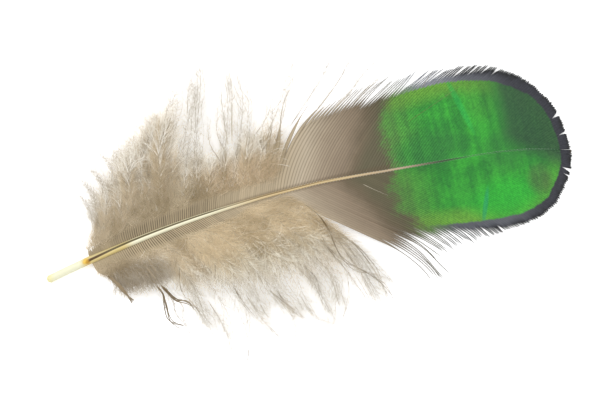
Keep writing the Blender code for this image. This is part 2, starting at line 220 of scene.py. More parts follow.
def shaft_side(x):
    ahead = shaft_point(x + 0.05) - shaft_point(x - 0.05)
    angle = math.atan2(ahead[1], ahead[0])
    return np.array([-math.sin(angle), math.cos(angle)])


def inside_tip_edge(points):
    """Says which points of the plan the closed vane can reach, by counting the edges beside them."""
    a = TIP_EDGE
    b = np.roll(TIP_EDGE, -1, axis=0)
    x = points[:, 0, None]
    y = points[:, 1, None]
    crossing = (a[:, 1] > y) != (b[:, 1] > y)
    with np.errstate(divide="ignore", invalid="ignore"):
        at = a[:, 0] + (y - a[:, 1]) / (b[:, 1] - a[:, 1]) * (b[:, 0] - a[:, 0])
    return (crossing & (x < at)).sum(axis=1) % 2 == 1


def edge_distance(points):
    """Returns how far each point of the plan is inside the outer edge of the closed vane."""
    a = TIP_EDGE[1:-2]
    b = TIP_EDGE[2:-1]
    ab = b - a
    flat = points.reshape(-1, 1, 2)
    part = np.clip(((flat - a) * ab).sum(-1) / (ab * ab).sum(-1), 0.0, 1.0)
    near = a + part[..., None] * ab
    return np.sqrt(((flat - near) ** 2).sum(-1)).min(axis=1).reshape(points.shape[:-1])


def barb_line(side, root):
    """Returns the plan of the barb that grows at a root, as evenly spaced points, and its length."""
    count = PLAN_POINTS
    table = UPPER if side > 0 else LOWER
    first, middle, last, reach = [column(table, root, n) for n in (1, 2, 3, 4)]
    hook = column(HOOK, root, 1) if side < 0 and root > HOOK[0][0] else 0.0
    reach *= 1.0 + hook * HOOK_REACH
    start = shaft_point(root)[:2] + side * shaft_side(root) * ROOT_SINK * column(RADIUS, root, 1)
    part = (np.arange(count) + 0.5) / count
    angle = first * (1 - part) ** 2 + 2 * middle * part * (1 - part) + last * part ** 2
    angle = np.radians(angle - hook * np.clip((part - HOOK_START) / (1.0 - HOOK_START), 0.0, 1.0) ** 1.2)
    steps = np.stack([np.cos(angle), np.sin(angle)], axis=1) * (reach / count)
    points = np.concatenate([[start], start + np.cumsum(steps, axis=0)])
    if root > FIRST_TRIMMED:
        out = np.nonzero(~inside_tip_edge(points[1:]))[0]
        if len(out):
            points = points[:out[0] + 1]
    return points, reach * (len(points) - 1) / count


def along(points, part):
    """Returns the points at the given parts of a plan."""
    place = np.clip(part, 0.0, 1.0) * (len(points) - 1)
    at = np.arange(len(points))
    return np.stack([np.interp(place, at, points[:, 0]), np.interp(place, at, points[:, 1])], axis=-1)


def vane_height(root, part):
    """Returns how high a barb is at parts of its length: down from the shaft, over the puff, to the floor."""
    start = shaft_point(root)[2]
    end = 0.5 * column(THICKNESS, root, 1)
    fall = np.minimum(1.0, part / LANDING) ** DROOP
    return start * (1.0 - fall) + end * fall + column(PUFF, root, 1) * np.sin(math.pi * part) ** 1.2


def sideways(plan, push):
    """Moves the points of a plan to their left by the given distances."""
    ahead = unit(np.gradient(plan, axis=0))
    return plan + np.stack([-ahead[:, 1], ahead[:, 0]], axis=1) * push[:, None]


def smooth_curve(knots, count):
    """Returns points on the smooth curve that passes through the knots, evenly spaced along it."""
    knots = np.asarray(knots, float)
    around = np.concatenate([[2 * knots[0] - knots[1]], knots, [2 * knots[-1] - knots[-2]]])
    t = np.linspace(0.0, 1.0, 16, endpoint=False)[:, None]
    parts = []
    for a, b, c, d in zip(around, around[1:], around[2:], around[3:]):
        parts.append(0.5 * (
            2 * b + (c - a) * t + (2 * a - 5 * b + 4 * c - d) * t ** 2 + (3 * b - a - 3 * c + d) * t ** 3
        ))
    points = np.concatenate(parts + [knots[-1:]])
    run = run_of(points)
    place = np.linspace(0.0, run[-1], count)
    return np.stack([np.interp(place, run, points[:, n]) for n in range(points.shape[1])], axis=1)


def run_of(points):
    """Returns how far along a line each of its points is."""
    return np.concatenate([[0.0], np.cumsum(np.linalg.norm(np.diff(points, axis=0), axis=1))])


class Barb:
    """One barb: its root, path, half width along it, shade, and the down that it carries."""

    def __init__(self, side, root, path):
        self.side = side
        self.root = root
        self.path = path
        self.run = run_of(path)
        self.half = None
        self.rim = np.full(len(path), NO_RIM)
        self.loose = np.zeros(len(path))
        self.tone = 0.5
        self.thick = 0.0
        self.fade = 1.0
        self.fluff = 0.0

    def spacing(self, gap):
        """Returns how far apart neighbouring barbs are along this one, if their roots are a gap apart."""
        half_step = 0.15
        near, _ = barb_line(self.side, max(FIRST_BARB, self.root - half_step))
        far, _ = barb_line(self.side, min(LAST_BARB, self.root + half_step))
        part = self.run / max(self.run[-1], 1e-6)
        apart = along(far, part) - along(near, part)
        ahead = unit(np.gradient(along(far, part), axis=0))
        across = np.abs(apart[:, 0] * ahead[:, 1] - apart[:, 1] * ahead[:, 0])
        return np.clip(across * gap / (2.0 * half_step), 0.08, 0.45)


def down_barbs(side, plumes, draw):
    """Grows the loose barbs of one side, each on a way of its own between the middles of its plumes."""
    clumping = UPPER_CLUMPING if side > 0 else LOWER_CLUMPING
    long_share = UPPER_LONG_SHARE if side > 0 else LOWER_LONG_SHARE
    lasts = [plume[0] for plume in plumes]
    firsts = [FIRST_BARB] + lasts[:-1]
    centres = 0.5 * (np.array(firsts) + np.array(lasts))
    ways = np.array([smooth_curve(plume[4], STATIONS) for plume in plumes])
    lifts = draw.uniform(0.0, 1.2, len(plumes))
    shades = draw.uniform(0.2, 0.8, len(plumes))
    barbs = []
    for root in np.arange(FIRST_BARB + 0.5 * BARB_GAP, lasts[-1], BARB_GAP):
        spread = LOWER_SPREAD * soft_step(LAST_SHORT, 17.0, root)
        if side > 0:
            spread = UPPER_SPREAD + 0.5 * soft_step(19.5, 22.0, root)
        own = int(np.searchsorted(lasts, root))
        next_one = int(np.clip(own + (1 if root > centres[own] else -1), 0, len(plumes) - 1))
        share = 0.0
        if next_one != own:
            share = abs(root - centres[own]) / abs(centres[next_one] - centres[own]) * (1.0 - clumping)
        way = ways[own] * (1.0 - share) + ways[next_one] * share
        foot, thick, fluff = [
            plumes[own][n] * (1.0 - share) + plumes[next_one][n] * share for n in (1, 2, 3)
        ]
        far = np.linspace(1.0 / STATIONS, 1.0, STATIONS)[:, None]
        way = way + draw.normal(0.0, 1.0, (STATIONS, 2)) * (0.04 + 0.26 * far ** 1.5)
        way = way + draw.normal(0.0, 1.0, 2) * spread * far ** 2
        start, reach = barb_line(side, root)
        plan = smooth_curve(
            np.concatenate([start[[0, int(FIRST_STRETCH / reach * PLAN_POINTS)]], way]), LOOSE_POINTS
        )
        total = run_of(plan)[-1]
        reach = total * draw.uniform(0.8, 1.0)
        if draw.uniform() > long_share:
            reach = min(reach, thick * draw.uniform(0.9, 1.35))
        plan = plan[:max(8, int(LOOSE_POINTS * min(1.0, reach / total)))]
        part = np.linspace(0.0, 1.0, STEPS)
        plan = along(plan, part)
        run = run_of(plan)
        swing = draw.uniform(0.05, 0.35) * part ** 1.3
        plan = sideways(plan, swing * np.sin(run * draw.uniform(0.5, 1.4) + draw.uniform(0.0, 6.28)))
        rise = lifts[own] * soft_step(2.0, 9.0, run) * (1.0 - 0.75 * soft_step(0.6, 1.0, part))
        height = vane_height(root, run / total) + rise + draw.normal(0.0, 0.12) * soft_step(1.5, 5.0, run)
        barb = Barb(side, root, np.concatenate([plan, height[:, None]], axis=1))
        web = 1.0 - soft_step(foot, foot * 1.6 + 0.8, barb.run)
        beyond = soft_step(thick - 1.0, thick + 2.0, barb.run)
        ramus = 0.026 - 0.006 * part - 0.006 * beyond
        barb.half = 0.5 * barb.spacing(BARB_GAP) * 1.3 * web + ramus * (1.0 - web)
        barb.loose = 1.0 - web
        barb.tone = np.clip(shades[own] + draw.normal(0.0, 0.16), 0.0, 1.0)
        barb.thick = min(barb.run[-1], thick * draw.uniform(0.86, 1.08))
        barb.fluff = fluff
        barb.fade = column(UPPER_FADE if side > 0 else LOWER_FADE, root, 1)
        barbs.append(barb)
    return barbs


def closed_barbs(side, start_root, fringe, draw):
    """Grows the barbs of the closed vane of one side, which part in small groups at its edge."""
    barbs = []
    part = np.linspace(0.0, 1.0, STEPS) ** 0.9
    root = start_root + 0.5 * CLOSED_GAP
    while root < LAST_BARB - 0.1:
        size = int(draw.integers(2, 5)) if root < 56.0 else int(draw.integers(3, 7))
        centre, _ = barb_line(side, min(LAST_BARB, root + 0.5 * (size - 1) * CLOSED_GAP))
        rimmed = soft_step(42.0, 50.0, root)
        pull = draw.uniform(0.0, 0.3)
        short = draw.uniform(0.0, 0.9) ** 1.5 * (1.0 - rimmed) + draw.uniform(0.0, 0.06) * rimmed
        bow = draw.normal(0.0, 0.18) * (1.0 - rimmed)
        for _ in range(size):
            if root >= LAST_BARB - 0.1:
                break
            own, length = barb_line(side, root)
            ends = 1.0 - (short + draw.uniform(0.0, 0.17 + 0.6 * (1.0 - rimmed))) / length
            plan = along(own, part * ends)
            inside = edge_distance(plan)
            loose = column(fringe, plan[:, 0], 1)
            free = soft_step(1.0, 0.0, inside / loose) if root > start_root + 0.1 else part * 0.0
            gather = (pull * free)[:, None]
            plan = plan * (1.0 - gather) + along(centre, part * ends) * gather
            plan = sideways(plan, bow * free ** 2)
            for parted_side, parted_root, begin, push in PARTINGS:
                if parted_side == side:
                    away = root - parted_root
                    share = math.exp(-abs(away) / 0.7) * (-1.0 if away > 0 else 1.0) * side
                    plan = sideways(plan, push * share * soft_step(begin, 1.0, part))
            height = vane_height(root, part)
            barb = Barb(side, root, np.concatenate([plan, height[:, None]], axis=1))
            closed = soft_step(0.62, 1.02, inside / loose * draw.uniform(0.9, 1.1))
            hair = (0.050 if side > 0 else 0.062) * (1.3 - 0.6 * part) + 0.045 * soft_step(40.0, 52.0, root)
            barb.half = 0.5 * barb.spacing(CLOSED_GAP) * 1.14 * closed + hair * (1.0 - closed)
            barb.half[-2:] *= np.array([0.6 + 0.3 * rimmed, 0.1 + 0.5 * rimmed])
            barb.rim = inside - column(fringe, plan[:, 0], 2)
            barb.tone = np.clip(0.5 + draw.normal(0.0, 0.16), 0.0, 1.0)
            barb.loose = 1.0 - closed
            barbs.append(barb)
            root += CLOSED_GAP
    return barbs


# Meshes made from arrays of points

UPWARDS = np.array([0.0, 0.0, 1.0])


class Strands:
    """Many narrow strips and slivers that are joined into one mesh."""

    def __init__(self):
        self.points = []
        self.marks = []
        self.quads = []
        self.triangles = []
        self.count = 0

    def add(self, points, marks, quads, triangles=None):
        self.points.append(points.reshape(-1, 3))
        self.marks.append(marks.reshape(-1, 5))
        self.quads.append(quads.reshape(-1, 4) + self.count)
        if triangles is not None:
            self.triangles.append(triangles.reshape(-1, 3) + self.count)
        self.count += len(self.points[-1])

    def marked(self, shape, *values):
        """Returns marks of a shape, filled with how far along and across, tone, rim and looseness."""
        marks = np.empty((*shape, len(values)))
        for n, value in enumerate(values):
            marks[..., n] = value
        return marks

    def strips(self, paths, halves, tone, rim, loose, ridge=0.0, slope=0.0):
        """Adds strips along paths (strip, point, xyz), three points wide, with the middle one raised."""
        many, long, _ = paths.shape
        ahead = unit(np.gradient(paths, axis=1))
        left = unit(np.cross(UPWARDS, ahead))
        up = np.cross(ahead, left)
        half = halves[..., None]
        rows = [
            paths - left * half - up * slope,
            paths + up * ridge,
            paths + left * half + up * slope,
        ]
        points = np.stack(rows, axis=2)
        points[..., 2] = np.maximum(points[..., 2], LOWEST)
        marks = self.marked(
            (many, long, 3), np.linspace(0.0, 1.0, long)[None, :, None], np.array([0.0, 0.5, 1.0]),
            tone.reshape(many, 1, 1), rim[..., None], loose[..., None],
        )
        at = np.arange(many * long * 3).reshape(many, long, 3)
        a, b = at[:, :-1], at[:, 1:]
        quads = np.stack([a[..., :2], b[..., :2], b[..., 1:], a[..., 1:]], axis=-1)
        self.add(points, marks, quads)

    def slivers(self, start, first, second, length, width, roll, tone, loose):
        """Adds slivers of a quad and a point, which leave their start one way and end another."""
        many = len(start)
        first = unit(first)
        across = unit(np.cross(first, UPWARDS) + roll)
        half = (0.5 * width)[:, None]
        middle = start + first * (0.5 * length)[:, None]
        tip = middle + unit(second) * (0.5 * length)[:, None]
        points = np.stack([
            start - across * half, start + across * half,
            middle - across * half * 0.8, middle + across * half * 0.8, tip,
        ], axis=1)
        points[..., 2] = np.maximum(points[..., 2], LOWEST)
        marks = self.marked(
            (many, 5), np.array([0.0, 0.0, 0.5, 0.5, 1.0]), np.array([0.0, 1.0, 0.0, 1.0, 0.5]),
            tone[:, None], NO_RIM, loose[:, None],
        )
        at = np.arange(many)[:, None] * 5
        self.add(points, marks, at + np.array([0, 1, 3, 2]), at + np.array([2, 3, 4]))

    def ribbons(self, paths, halves, tone):
        """Adds flat hairs along paths (hair, point, xyz), two points wide."""
        many, long, _ = paths.shape
        left = unit(np.cross(UPWARDS, np.gradient(paths, axis=1)))
        points = np.stack([paths - left * halves[..., None], paths + left * halves[..., None]], axis=2)
        points[..., 2] = np.maximum(points[..., 2], LOWEST)
        marks = self.marked(
            (many, long, 2), np.linspace(0.0, 1.0, long)[None, :, None], np.array([0.0, 1.0]),
            tone.reshape(many, 1, 1), NO_RIM, 1.0,
        )
        at = np.arange(many * long * 2).reshape(many, long, 2)
        a, b = at[:, :-1], at[:, 1:]
        self.add(points, marks, np.stack([a[..., 0], b[..., 0], b[..., 1], a[..., 1]], axis=-1))

    def piece(self, name, finish, slot):
        """Joins all that was added into one piece, with its marks."""
        points = (np.concatenate(self.points) + QUILL_END) * MM
        marks = np.concatenate(self.marks)
        quads = np.concatenate(self.quads)
        triangles = np.concatenate(self.triangles) if self.triangles else np.zeros((0, 3), int)
        corners = np.concatenate([quads.ravel(), triangles.ravel()]).astype(np.int32)
        totals = np.concatenate([np.full(len(quads), 4), np.full(len(triangles), 3)]).astype(np.int32)
        starts = np.concatenate([[0], np.cumsum(totals)[:-1]]).astype(np.int32)
        mesh = bpy.data.meshes.new(name)
        mesh.vertices.add(len(points))
        mesh.vertices.foreach_set("co", points.astype(np.float32).ravel())
        mesh.loops.add(len(corners))
        mesh.loops.foreach_set("vertex_index", corners)
        mesh.polygons.add(len(totals))
        mesh.polygons.foreach_set("loop_start", starts)
        mesh.polygons.foreach_set("loop_total", totals)
        mesh.polygons.foreach_set("use_smooth", np.ones(len(totals), bool))
        mesh.update(calc_edges=True)
        layer = mesh.uv_layers.new(name="UVMap")
        layer.data.foreach_set("uv", marks[corners][:, :2].astype(np.float32).ravel())
        for n, word in ((2, "tone"), (3, "rim"), (4, "loose")):
            mark = mesh.attributes.new(word, "FLOAT", "POINT")
            mark.data.foreach_set("value", marks[:, n].astype(np.float32))
        return finish_piece(name, mesh, finish)


def finish_piece(name, mesh, finish):
    mesh.materials.append(finish)
    piece = bpy.data.objects.new(name, mesh)
    bpy.context.scene.collection.objects.link(piece)
    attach(piece, "root")
    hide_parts("feather")
    return piece


# Finishes

class Value:
    """A number, colour or direction in a finish, which can be used in sums."""

    def __init__(self, paint, socket):
        self.paint = paint
        self.socket = socket

    def sum(self, operation, a, b=None):
        inputs = {0: a} if b is None else {0: a, 1: b}
        return self.paint.node("ShaderNodeMath", {"operation": operation}, inputs)

    def __add__(self, other):
        return self.sum("ADD", self, other)

    def __sub__(self, other):
        return self.sum("SUBTRACT", self, other)

    def __mul__(self, other):
        return self.sum("MULTIPLY", self, other)

    def __truediv__(self, other):
        return self.sum("DIVIDE", self, other)

    def __rsub__(self, other):
        return self.sum("SUBTRACT", other, self)

    def __abs__(self):
        return self.sum("ABSOLUTE", self)

    def sine(self):
        return self.sum("SINE", self)

    __radd__ = __add__
    __rmul__ = __mul__


class Paint:
    """One finish, made from nodes."""

    def __init__(self, name):
        self.material = bpy.data.materials.new(name)
        self.material.use_nodes = True
        self.tree = self.material.node_tree
        self.shader = self.tree.nodes["Principled BSDF"]

    def node(self, kind, settings=None, inputs=None, output=0):
        made = self.tree.nodes.new(kind)
        for key, value in (settings or {}).items():
            if key == "stops":
                stops = made.color_ramp.elements
                while len(stops) < len(value):
                    stops.new(0.5)
                for stop, (place, colour) in zip(stops, value):
                    stop.position = place
                    stop.color = (*colour, 1.0)
            else:
                setattr(made, key, value)
        for key, value in (inputs or {}).items():
            self.set(made.inputs[key], value)
        return Value(self, made.outputs[output])

    def set(self, socket, value):
        if isinstance(value, Value):
            self.tree.links.new(value.socket, socket)
        elif isinstance(value, tuple) and len(value) == 3 and socket.type == "RGBA":
            socket.default_value = (*value, 1.0)
        else:
            socket.default_value = value

    def feed(self, **values):
        for key, value in values.items():
            self.set(self.shader.inputs[key.replace("_", " ")], value)

    def step(self, value, low, high):
        """Rises softly from 0 at low to 1 at high."""
        inputs = {"Value": value, "From Min": low, "From Max": high}
        return self.node("ShaderNodeMapRange", {"interpolation_type": "SMOOTHSTEP"}, inputs)

    def fall(self, value, low, high):
        """Falls softly from 1 at low to 0 at high."""
        return 1.0 - self.step(value, low, high)

    def blend(self, part, first, second, kind="MIX"):
        settings = {"data_type": "RGBA", "blend_type": kind, "clamp_factor": True}
        return self.node("ShaderNodeMix", settings, {0: part, 6: first, 7: second}, 2)

    def noise(self, where, scale, detail=3.0, roughness=0.5):
        inputs = {"Vector": where, "Scale": scale, "Detail": detail, "Roughness": roughness}
        return self.node("ShaderNodeTexNoise", None, inputs)

    def attribute(self, word):
        return self.node("ShaderNodeAttribute", {"attribute_name": word}, None, 2)

    def plan(self):
        """Keeps x and y, in millimetres from the end of the quill, and returns the place."""
        place = self.node("ShaderNodeTexCoord", None, None, 3)
        inputs = {0: place, 1: (1.0 / MM, 1.0 / MM, 1.0 / MM), 2: tuple(-QUILL_END)}
        scaled = self.node("ShaderNodeVectorMath", {"operation": "MULTIPLY_ADD"}, inputs)
        self.x = self.node("ShaderNodeSeparateXYZ", None, {0: scaled})
        self.y = Value(self, self.x.socket.node.outputs[1])
        return scaled

    def strand_marks(self):
        """Returns how far along and across its strip a point is."""
        place = self.node("ShaderNodeUVMap", {"uv_map": "UVMap"})
        parts = self.node("ShaderNodeSeparateXYZ", None, {0: place})
        return parts, Value(self, parts.socket.node.outputs[1])

    def spot(self, middle, radii, soft=0.9, lean=0.0):
        """Returns 1 inside an oval on the plan, falling softly to 0 outside it."""
        x = self.x + self.y * lean if lean else self.x
        dx = (x - middle[0]) / radii[0]
        dy = (self.y - middle[1]) / radii[1]
        return self.fall(dx * dx + dy * dy, 1.0 - soft, 1.0 + soft)

    def stain(self, colour, middle, radii, part, tint, kind="MIX", soft=0.9, lean=0.0):
        """Tints an oval on the plan by the given part."""
        return self.blend(self.spot(middle, radii, soft, lean) * part, colour, tint, kind)

    def bump(self, height, strength, distance):
        inputs = {"Strength": strength, "Distance": distance, "Height": height}
        return self.node("ShaderNodeBump", None, inputs)


class VanePaint(Paint):
    """The finish of the barbs, from their place on the feather and the marks on them."""

    def __init__(self):
        super().__init__("barbs of the vane")
        self.place = self.plan()
        self.along_barb, self.across = self.strand_marks()
        self.tone, self.rim, self.loose = [self.attribute(word) for word in ("tone", "rim", "loose")]
        self.fine = self.noise(self.place, 3.2, 4.0, 0.65)
        self.broad = self.noise(self.place, 0.35, 3.0, 0.5)
        part = self.x / LENGTH
        above_shaft = self.y - 4.0 * BOW * part * (1.0 - part)
        self.from_shaft = abs(above_shaft)
        self.upper_side = self.step(above_shaft, -0.3, 0.3)
        # how far along the change from brown to green a place is, in millimetres
        turned = self.x + 1.4 - self.from_shaft * 0.44 + (self.broad - 0.5) * 2.0 + (self.fine - 0.5) * 0.8
        self.turned = turned + (1.0 - self.upper_side) * (1.6 - self.from_shaft * 0.2)

    def brown(self):
        """Brown of the loose part, greyer and darker before the green."""
        brown = self.node("ShaderNodeValToRGB", {"stops": [
            (0.0, (0.43, 0.345, 0.22)), (0.45, (0.45, 0.365, 0.245)), (0.58, (0.49, 0.41, 0.30)),
            (0.69, (0.345, 0.275, 0.195)), (0.81, (0.26, 0.20, 0.137)), (0.89, (0.155, 0.12, 0.074)),
            (0.96, (0.12, 0.106, 0.060)),
        ]}, {0: (self.turned - 24.0) / 25.0})
        first_part = self.fall(self.x, 20.0, 30.0)
        brown = self.blend(first_part * self.upper_side, brown, (0.345, 0.275, 0.172))
        brown = self.stain(brown, (12.6, -2.4), (4.6, 2.6), 0.8, (0.30, 0.235, 0.155))
        shade = self.blend(self.tone, (0.5, 0.5, 0.5), (1.5, 1.48, 1.45))
        brown = self.blend(0.22, brown, shade, "MULTIPLY")
        hair = self.blend(self.step(self.x, 38.0, 50.0), (0.41, 0.34, 0.245), (0.17, 0.15, 0.12))
        return self.blend(self.loose * 0.9, brown, hair)

    def green(self):
        """Green of the tip, with its darker, brighter, golden and mauve places and two blue streaks; the dull
        patch past x 65 is painted shade and the bright patch below the shaft near x 64 is painted sheen.
        """
        x, y = self.x, self.y
        inputs = {0: self.place, 1: (0.9, 0.07, 0.0)}
        bands = self.noise(self.node("ShaderNodeVectorMath", {"operation": "MULTIPLY"}, inputs), 1.0, 2.0)
        mixed = self.step(self.broad * 0.5 + bands * 0.5, 0.38, 0.62)
        green = self.blend(mixed, (0.028, 0.24, 0.037), (0.047, 0.40, 0.043))
        deep = self.spot((56.0, 4.6), (5.0, 2.6))
        green = self.blend(deep * 0.6, green, (0.032, 0.17, 0.042))
        edge = self.fall(self.rim, 0.2, 2.8) * 0.8 * (1.0 - self.step(x, 60.0, 65.0) * 0.6)
        green = self.blend(edge, green, (0.16, 0.37, 0.047))
        start = self.fall(x, 50.0, 57.0) * 0.6 * (1.0 - deep * 0.9)
        green = self.blend(start, green, (0.13, 0.22, 0.065))
        green = self.stain(green, (55.5, 12.8), (4.5, 1.8), 0.32, (0.14, 0.36, 0.05))
        green = self.stain(green, (55.5, -5.4), (4.5, 1.5), 0.32, (0.14, 0.36, 0.05))
        green = self.stain(green, (66.0, 2.2), (3.0, 2.6), 0.6, (0.036, 0.19, 0.045))
        # painted sheen: the bright green patch below the shaft near x 64
        green = self.stain(green, (64.5, -4.2), (4.5, 2.6), 0.75, (0.03, 0.45, 0.04))
        # painted shade: the dull dark green where the vane curves away, past x 65
        dull_shade = self.step(x + (self.fine - 0.5) * 1.6 + (self.broad - 0.5) * 2.0, 64.6, 68.4)
        dull_shade = dull_shade * self.step(y + (x - 66.0) * 0.75, 1.6, 5.6)
        green = self.blend(dull_shade * 0.9, green, (0.036, 0.09, 0.046))
        green = self.stain(green, (64.3, 10.6), (2.0, 3.4), 0.85, (1.25, 0.84, 1.0), "MULTIPLY")
        green = self.stain(green, (69.9, -2.8), (1.7, 2.0), 0.5, (0.09, 0.09, 0.058))
        green = self.stain(green, (63.6, 9.8), (0.42, 3.9), 0.6, (0.03, 0.44, 0.075), lean=0.22)
        green = self.stain(green, (63.2, -4.6), (0.34, 2.2), 0.7, (0.022, 0.33, 0.13), lean=-0.35)
        grain = self.blend(self.step(self.fine, 0.34, 0.66), (0.70, 0.75, 0.82), (1.35, 1.27, 1.18))
        return self.blend(0.6, green, grain, "MULTIPLY")

    def greenness(self):
        """Returns 0 in the brown and 1 in the green, with a ragged border between them."""
        wander = (self.broad - 0.5) * 3.0 + (self.tone - 0.5) * 1.0 + (self.fine - 0.5) * 2.4
        bulge = self.spot((50.0, 8.0), (6.0, 3.6), 1.0) * 1.2 + self.spot((50.0, -0.6), (6.0, 2.6), 1.0) * 1.6
        border = self.x + wander + bulge - self.from_shaft * 0.12
        return self.step(border, 49.4, 52.0) * (1.0 - self.loose * 0.92)

    def rim_colour(self):
        """Blue-black, paler where the upper rim starts, with the outermost teeth nearly black."""
        x, uneven = self.x, self.tone - 0.5
        outermost = self.step(self.rim + uneven * 0.8, -1.5, -0.7)
        colour = self.blend(outermost, (0.011, 0.012, 0.012), (0.026, 0.027, 0.036))
        slate = (1.0 - self.step(x, 64.0, 70.0) * 0.9) * self.step(self.rim + uneven, -1.4, -0.3)
        colour = self.blend(slate * 0.75, colour, (0.13, 0.137, 0.158))
        colour = self.blend(self.fall(x, 58.0, 64.0) * self.upper_side * 0.6, colour, (0.34, 0.36, 0.41))
        outer = self.step(self.loose, 0.3, 0.9) * self.step(x - self.upper_side * 5.0, 53.0, 57.0)
        colour = self.blend(outer * 0.8, colour, (0.022, 0.024, 0.022))
        return self.blend(self.step(self.fine, 0.4, 0.7) * 0.18, colour, (0.10, 0.105, 0.125))

    def paint_seam_shade(self, colour, greenness):
        """Darkens the narrow gaps between neighbouring barbs with painted shade, deepest in the comb along
        the shaft, and paints shade along the shaft's sides.
        """
        x, away = self.x, self.from_shaft
        comb = self.fall(away, 1.4, 2.2) * self.fall(x, 22.0, 29.0) * self.step(x, 9.0, 13.0)
        # painted shade in the gaps between neighbouring barbs
        seam_shade = self.step(abs(self.across - 0.5), 0.22 - 0.12 * comb, 0.44 - 0.08 * comb)
        open_part = self.upper_side * self.step(x, 30.0, 36.0) * self.fall(self.turned, 42.0, 46.0)
        # painted shade along the shaft's sides, where the vane meets it
        beside = self.fall(away, 0.3, 0.7) * self.step(x, 20.0, 30.0) * (1.0 - greenness)
        colour = self.blend(beside * 0.45, colour, (0.12, 0.085, 0.045))
        begun = self.step(x, 47.0, 50.0) * self.fall(x, 54.0, 59.0)
        depth = 0.30 + comb * (0.70 - 0.15 * self.upper_side) + open_part * 0.22 + begun * 0.35
        return self.blend(seam_shade * depth * (1.0 - self.loose * 0.8), colour, (0.3, 0.28, 0.24), "MULTIPLY")


def paint_vane():
    paint = VanePaint()
    greenness = paint.greenness()
    colour = paint.blend(greenness, paint.brown(), paint.green())
    dark = paint.fall(paint.rim + (paint.tone - 0.5) * 0.2, -0.10, 0.16) * paint.step(paint.x, 51.5, 57.5)
    colour = paint.blend(dark, colour, paint.rim_colour())
    hatch = (paint.along_barb * 900.0 + paint.across * 14.0).sine()
    gloss = greenness * (1.0 - dark)
    paint.feed(
        Base_Color=paint.paint_seam_shade(colour, greenness),
        Roughness=0.62 - 0.17 * gloss,
        Metallic=0.35 * gloss,
        Normal=paint.bump(hatch * 0.5 + paint.fine, 0.35, 0.00003),
        Specular_IOR_Level=0.35,
    )
    return paint.material


# Places of the down that differ a little in colour: middle, radii, and by how much
DOWN_TINTS = [
    ((30.0, -1.0), (11.0, 5.5), (1.08, 1.05, 0.97)), ((31.0, -4.4), (8.5, 2.6), (0.89, 0.90, 0.91)),
    ((30.0, 7.5), (5.5, 2.6), (0.96, 0.90, 0.82)), ((20.0, 6.0), (6.0, 2.2), (0.84, 0.82, 0.77)),
]


def paint_down(name, light, dark, faint):
    """Paints down, of which the loose ends are greyer by the given part."""
    paint = Paint(name)
    broad = paint.noise(paint.plan(), 0.5, 4.0, 0.6)
    loose = paint.attribute("loose") * faint
    mixed = paint.step(broad * 0.6 + paint.attribute("tone") * 0.4, 0.3, 0.7)
    colour = paint.blend(mixed, dark, light)
    colour = paint.blend(paint.fall(paint.x, 8.0, 13.0) * 0.3, colour, dark)
    colour = paint.blend(0.25 * paint.strand_marks()[0], colour, light)
    colour = paint.blend(loose, colour, (0.62, 0.585, 0.51))
    far = paint.step(0.0 - paint.y, 5.5, 10.0) * loose
    colour = paint.blend(far * 0.4, colour, (0.86, 0.84, 0.79))
    for middle, radii, tint in DOWN_TINTS:
        colour = paint.stain(colour, middle, radii, 1.0, tint, "MULTIPLY")
    colour = paint.stain(colour, (12.6, -2.6), (4.6, 2.2), 0.75, (0.30, 0.23, 0.14))
    paint.feed(Base_Color=colour, Roughness=0.8, Specular_IOR_Level=0.2)
    return paint.material


# Along the shaft: where a colour starts, where it is full, and the colour
HORN = [
    (0.2, 1.4, (0.84, 0.83, 0.62)), (4.8, 6.0, (0.70, 0.56, 0.24)), (11.4, 13.4, (0.88, 0.85, 0.64)),
    (22.0, 34.0, (0.66, 0.51, 0.28)), (40.0, 52.0, (0.50, 0.39, 0.27)), (50.5, 57.5, (0.05, 0.07, 0.04)),
    (58.5, 62.0, (0.014, 0.165, 0.038)), (72.8, 73.8, (0.03, 0.03, 0.035)),
]


def paint_shaft():
    paint = Paint("horn of the shaft")
    fine = paint.noise(paint.plan(), 2.0, 4.0, 0.6)
    x = paint.x
    horn = (0.84, 0.78, 0.42)
    for start, full, colour in HORN:
        horn = paint.blend(paint.step(x, start, full), horn, colour)
    horn = paint.stain(horn, (5.65, 1.25), (0.46, 0.36), 0.95, (0.80, 0.52, 0.08), soft=0.8, lean=-0.2)
    horn = paint.stain(horn, (6.0, 1.15), (0.35, 0.34), 0.8, (0.50, 0.24, 0.02), soft=0.8, lean=-0.2)
    # the groove starts on top and runs to the side of the upper vane; its dark colour is painted shade,
    # carried on past x 31 as a painted dark line where the shaft is no longer sunk
    turn = paint.strand_marks()[1] + 0.087 * paint.step(x, 5.5, 13.0)
    groove = paint.step(turn, 0.178, 0.205) * paint.fall(turn, 0.29, 0.315) * paint.step(x, 6.1, 6.6)
    shade = paint.blend(paint.step(x, 7.6, 10.0), (0.075, 0.033, 0.006), (0.10, 0.072, 0.022))
    horn = paint.blend(groove * paint.fall(x, 24.0, 31.0) * 0.97, horn, shade)
    later_groove_shade = paint.step(x, 24.0, 31.0) * paint.fall(x, 38.0, 46.0) * 0.85
    horn = paint.blend(groove * later_groove_shade, horn, (0.17, 0.10, 0.035))
    rail = paint.fall(turn, 0.17, 0.20) * paint.step(x, 6.3, 7.0) * paint.fall(x, 20.0, 28.0)
    horn = paint.blend(rail * 0.6, horn, (0.55, 0.47, 0.26))
    horn = paint.blend(0.3, horn, paint.blend(fine, (0.75, 0.75, 0.72), (1.1, 1.1, 1.05)), "MULTIPLY")
    rough = 0.38 + 0.2 * fine + 0.4 * paint.step(x, 54.0, 60.0)
    normal = paint.bump(fine, 0.2, 0.00004)
    paint.feed(Base_Color=horn, Roughness=rough, Normal=normal, Specular_IOR_Level=0.3)
    return paint.material


# Shaft

